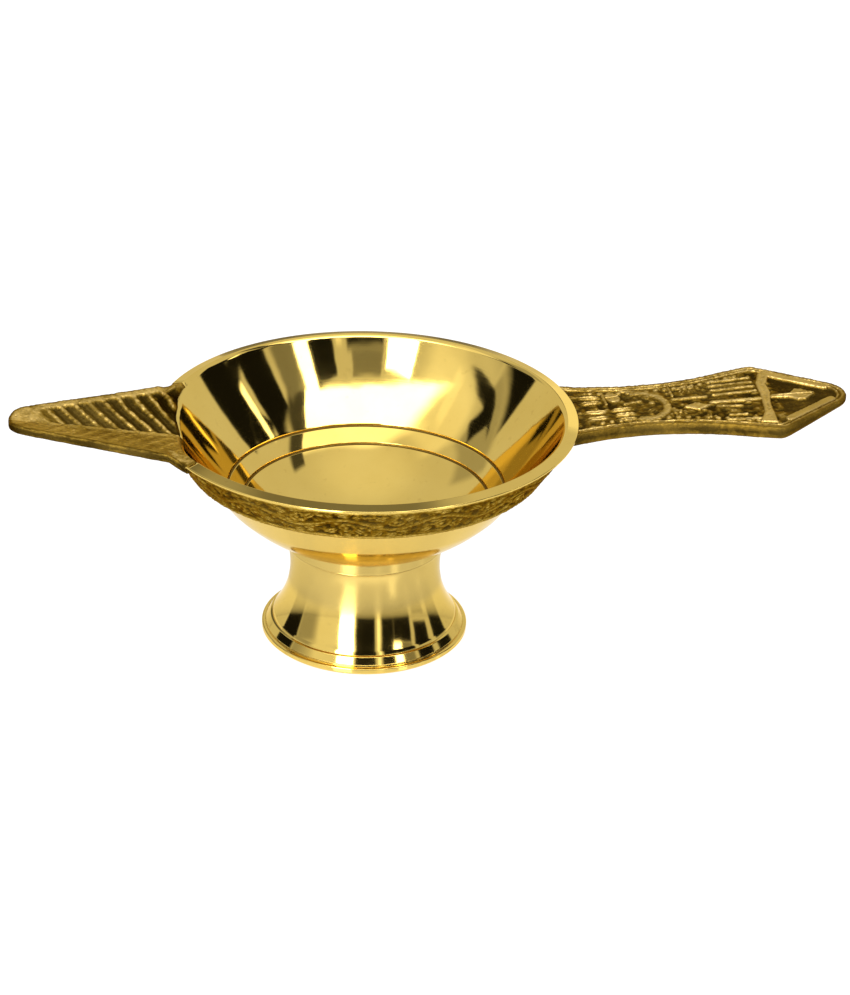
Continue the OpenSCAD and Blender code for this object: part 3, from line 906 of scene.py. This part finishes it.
# ---------------------------------------------------------------- floor
size = 30.0
corners = [(-size, -size, 0), (size, -size, 0), (size, size, 0), (-size, size, 0)]
floor_mesh = bpy.data.meshes.new("floor")
floor_mesh.from_pydata(corners, [], [(0, 1, 2, 3)])
floor = bpy.data.objects.new("floor", floor_mesh)
floor.location.z = -0.00005
bpy.context.scene.collection.objects.link(floor)
floor_mat = bpy.data.materials.new("pale_floor")
ft = Tree(floor_mat)
diffuse = ft.add("ShaderNodeBsdfDiffuse", Color=(0.16, 0.16, 0.16, 1)).outputs[0]
glow = ft.add("ShaderNodeEmission", Strength=1.08).outputs[0]
both = ft.add("ShaderNodeAddShader")
ft.put(both.inputs[0], diffuse)
ft.put(both.inputs[1], glow)
gloss = ft.add("ShaderNodeMixShader", Fac=ft.add("ShaderNodeFresnel", IOR=2.2).outputs[0])
ft.put(gloss.inputs[1], both.outputs[0])
ft.put(gloss.inputs[2], ft.add("ShaderNodeBsdfGlossy", Roughness=0.05).outputs[0])
ft.add("ShaderNodeOutputMaterial", Surface=gloss.outputs[0])
floor.data.materials.append(floor_mat)

# ---------------------------------------------------------------- studio light
# A white room with softboxes and dark screens, placed for what the bowl and the foot mirror.
# Azimuth 0 is the front, and + is towards +X.
world = bpy.data.worlds.new("studio")
bpy.context.scene.world = world
wt = Tree(world)
direction = wt.add("ShaderNodeTexCoord").outputs["Generated"]
axes = wt.add("ShaderNodeSeparateXYZ", Vector=direction).outputs
azimuth = wt.math("DEGREES", wt.math("ARCTAN2", axes[0], wt.math("MULTIPLY", axes[1], -1.0)))
elevation = wt.math("DEGREES", wt.math("ARCSINE", axes[2]))
# elevation measured from a line that bows down away from the front
turned = wt.math("ADD", azimuth, 5.0)
bowed = wt.math("ADD", elevation, wt.math("MULTIPLY", wt.math("MULTIPLY", turned, turned), 0.0024))
radiance = 1.0


def band(value, low, high, soft_low, soft_high):
    """1 between low and high, with soft edges."""
    rise = wt.remap(value, low - soft_low, low + soft_low, 0, 1, True)
    return wt.math("MULTIPLY", rise, wt.remap(value, high - soft_high, high + soft_high, 1, 0, True))


def panel(level, az, el, soft_az=(1, 1), soft_el=(1, 1), lean=0.0, bow=False):
    """Lays a screen or softbox over the room. az, el and the widths of its soft edges are in degrees."""
    global radiance
    across, height = azimuth, bowed if bow else elevation
    if lean:
        middle = sum(el) / 2
        across = wt.math("ADD", azimuth, wt.math("MULTIPLY", wt.math("SUBTRACT", height, middle), lean))
    mask = wt.math("MULTIPLY", band(across, *az, *soft_az), band(height, *el, *soft_el))
    keep = wt.math("MULTIPLY", radiance, wt.math("SUBTRACT", 1.0, mask))
    radiance = wt.math("ADD", keep, wt.math("MULTIPLY", mask, level))


# ceiling and left-hand wall
panel(1.25, (-181, 181), (66, 91), (0.5, 0.5), (14, 0.5))
panel(1.5, (-96, -50), (34, 60), (5, 8), (3, 6))
panel(1.35, (-72, -42), (-1, 34), (5, 1), (1, 5))
# behind the lamp, where the lip looks
panel(1.6, (148, 168), (10, 24), (4, 2), (3, 1))
panel(0.32, (161, 181), (40, 57), (4, 0.5), (4, 3))
panel(0.32, (-181, -170), (40, 57), (0.5, 5), (4, 3))
panel(0.3, (166, 181), (-1, 5), (2, 0.5), (0.5, 2))
# left-hand screens
panel(0.6, (-136, -100), (24, 42), (4, 2), (2, 3))
panel(0.2, (-181, -160), (25, 40), (0.5, 4), (1.5, 5))
panel(0.55, (-98, -75), (-1, 25), (2, 6), (1, 4))
panel(0.012, (-122, -99), (-1, 23.5), (1, 1.5), (1, 1.5))
panel(0.015, (-105.5, -90.5), (27.5, 33), (1, 1), (0.5, 0.7), lean=-4.3)
panel(0.015, (-109, -101.5), (27.5, 35.5), (1, 1), (0.5, 0.7), lean=-0.8)
panel(1.8, (-79, -72), (36, 46), (1.5, 1.5), (1, 2))
# the big softbox above the camera, with its spill and a dark edge
panel(2.6, (-50, 72), (58, 74), (14, 0.8), (1, 3), lean=-1.6, bow=True)
panel(9.5, (-60, 51.3), (49.8, 59.8), (9, 0.7), (0.6, 0.8), lean=-1.6, bow=True)
panel(0.10, (69, 82), (49.5, 82), (0.8, 2.5), (1, 2), lean=-1.6, bow=True)
# window strip and screens in front
panel(16.0, (-41, -21), (-1, 46), (0.6, 0.6), (1, 0.6))
panel(0.015, (-18, 7), (-1, 42), (1, 1), (1, 1.5))
panel(0.36, (-18, 4), (42, 48), (0.7, 0.7), (1.5, 0.7))
panel(2.4, (10.2, 13.8), (-1, 40), (0.8, 0.8), (1, 2))
panel(0.012, (16, 32), (-1, 46.5), (0.7, 0.7), (1, 0.6))
panel(0.012, (32, 56), (-1, 26), (0.7, 1), (1, 2))
panel(0.35, (43, 57), (27, 43), (0.7, 2), (1, 1))
panel(9.5, (32.5, 42), (27, 48), (0.6, 0.6), (3, 1.5))
# right-hand screens, with a bright gap
panel(0.012, (61, 80), (4, 43), (1, 1), (2, 1))
panel(0.015, (78, 90), (22, 27.5), (1, 1), (2, 0.7))
panel(0.012, (83, 95), (30, 38.5), (0.7, 1), (1, 1), lean=1.1)
panel(0.012, (87.5, 107), (-1, 31), (0.7, 1), (1, 1))
panel(4.0, (83.6, 87.4), (28, 40), (0.7, 0.7), (1, 1))

background = wt.add("ShaderNodeBackground", Strength=radiance)
wt.add("ShaderNodeOutputWorld", Surface=background.outputs[0])

# ---------------------------------------------------------------- camera
az, el, roll = math.radians(-9.08), math.radians(26.86), math.radians(1.48)
aim, distance = Vector((14.3, 0, 34.01)) * MM, 0.7
back = Vector((math.sin(az) * math.cos(el), -math.cos(az) * math.cos(el), math.sin(el)))
right = Vector((math.cos(az), math.sin(az), 0))
up = back.cross(right)
cam_x = right * math.cos(roll) + up * math.sin(roll)
cam_y = -right * math.sin(roll) + up * math.cos(roll)
where = aim + back * distance
cam_data = bpy.data.cameras.new("camera")
cam_data.sensor_width = 36
cam_data.lens = 105.32
cam_data.clip_start = 0.01
cam_data.clip_end = 100
cam = bpy.data.objects.new("camera", cam_data)
cam.matrix_world = Matrix((
    (cam_x.x, cam_y.x, back.x, where.x),
    (cam_x.y, cam_y.y, back.y, where.y),
    (cam_x.z, cam_y.z, back.z, where.z),
    (0, 0, 0, 1)))
bpy.context.scene.collection.objects.link(cam)
bpy.context.scene.camera = cam
bpy.context.scene.view_settings.view_transform = "Standard"
